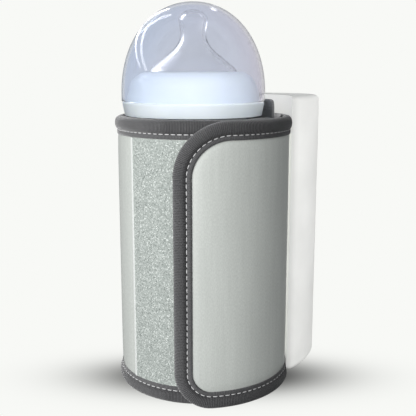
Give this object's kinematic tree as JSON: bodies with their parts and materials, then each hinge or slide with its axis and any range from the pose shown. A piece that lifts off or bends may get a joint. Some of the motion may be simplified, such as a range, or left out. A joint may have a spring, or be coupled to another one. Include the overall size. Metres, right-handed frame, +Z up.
{
  "type": "bottle warmer",
  "caption": "Portable feeding-bottle warmer: a padded heating sleeve with a hook-and-loop flap and a battery unit on its back, holding a capped bottle.",
  "frame": {"origin": "on the ground, under the middle of the footprint", "axes": "+Z up, +Y towards the battery unit's back, the flap closes at -Y"},
  "size_m": [0.0886, 0.1102, 0.1837],
  "materials": {
    "cover": "fine-grained coated fabric, satin",
    "foam": "matte",
    "film": "printed heating film, satin",
    "lining": "woven, matte",
    "tape": "ribbed woven tape, matte",
    "loop": "looped pile, matte",
    "hook": "small hooks, matte",
    "white_plastic": "fine satin",
    "dark_window": "polished",
    "board": "solder mask, satin",
    "cell": "shrink wrap, satin",
    "steel": "plated",
    "black_plastic": "matte",
    "rubber": "matte",
    "clear_bottle": "clear",
    "collar": "smooth",
    "silicone": "clear silicone, satin",
    "clear_cap": "clear, polished"
  },
  "bodies": {
    "sleeve": {"sleeve_cover": "cover", "sleeve_insulation": "foam", "heating_film": "film", "sleeve_lining": "lining", "sleeve_binding": "tape", "loop_strip": "loop", "mounting_tongue": "tape", "mounting_screw_1": "steel", "mounting_screw_2": "steel", "mounting_screw_3": "steel", "mounting_screw_4": "steel", "temperature_probe": "steel", "unit_front_shell": "white_plastic", "unit_rear_shell": "white_plastic", "case_screw_1": "steel", "case_screw_2": "steel", "case_screw_3": "steel", "case_screw_4": "steel", "circuit_board": "board", "battery_cell_1": "cell", "battery_cell_2": "cell", "display_window": "dark_window", "display_module": "black_plastic", "status_lens": "clear_cap", "tact_switch": "black_plastic", "usb_c_socket": "steel", "heater_lead": "black_plastic", "lead_grommet": "rubber"},
    "flap": {"flap_cover": "cover", "flap_insulation": "foam", "flap_lining": "lining", "flap_binding": "tape", "hook_strip": "hook"},
    "power_button": {"power_button": "collar"},
    "bottle": {"bottle_body": "clear_bottle"},
    "nipple": {"nipple": "silicone"},
    "collar": {"collar": "collar"},
    "cap": {"bottle_cap": "clear_cap"}
  },
  "joints": [
    {"name": "flap_open", "type": "hinge", "parent": "sleeve", "child": "flap", "pos_m": [0.04174, -0.00353, 0.065], "axis": [0, 0, 1], "range_deg": [0, 130]},
    {"name": "button_press", "type": "slide", "parent": "sleeve", "child": "power_button", "axis": [0, -1, 0], "range_m": [0, 0.0007], "stiffness_N_per_m": 400, "springref_m": -0.0005},
    {"name": "bottle_lift", "type": "slide", "parent": "sleeve", "child": "bottle", "axis": [0, 0, 1], "range_m": [0, 0.16]},
    {"name": "nipple_rise", "type": "slide", "parent": "bottle", "child": "nipple", "axis": [0, 0, 1], "range_m": [0, 0.0063]},
    {"name": "collar_turn", "type": "hinge", "parent": "nipple", "child": "collar", "pos_m": [-0.00435, -0.01263, 0.1415], "axis": [0, 0, 1], "range_deg": [0, 450]},
    {"name": "cap_lift", "type": "slide", "parent": "collar", "child": "cap", "axis": [0, 0, 1], "range_m": [0, 0.06]}
  ],
  "couplings": [
    {"joint": "nipple_rise", "follows": "collar_turn", "m_per_rad": 0.00079577}
  ]
}
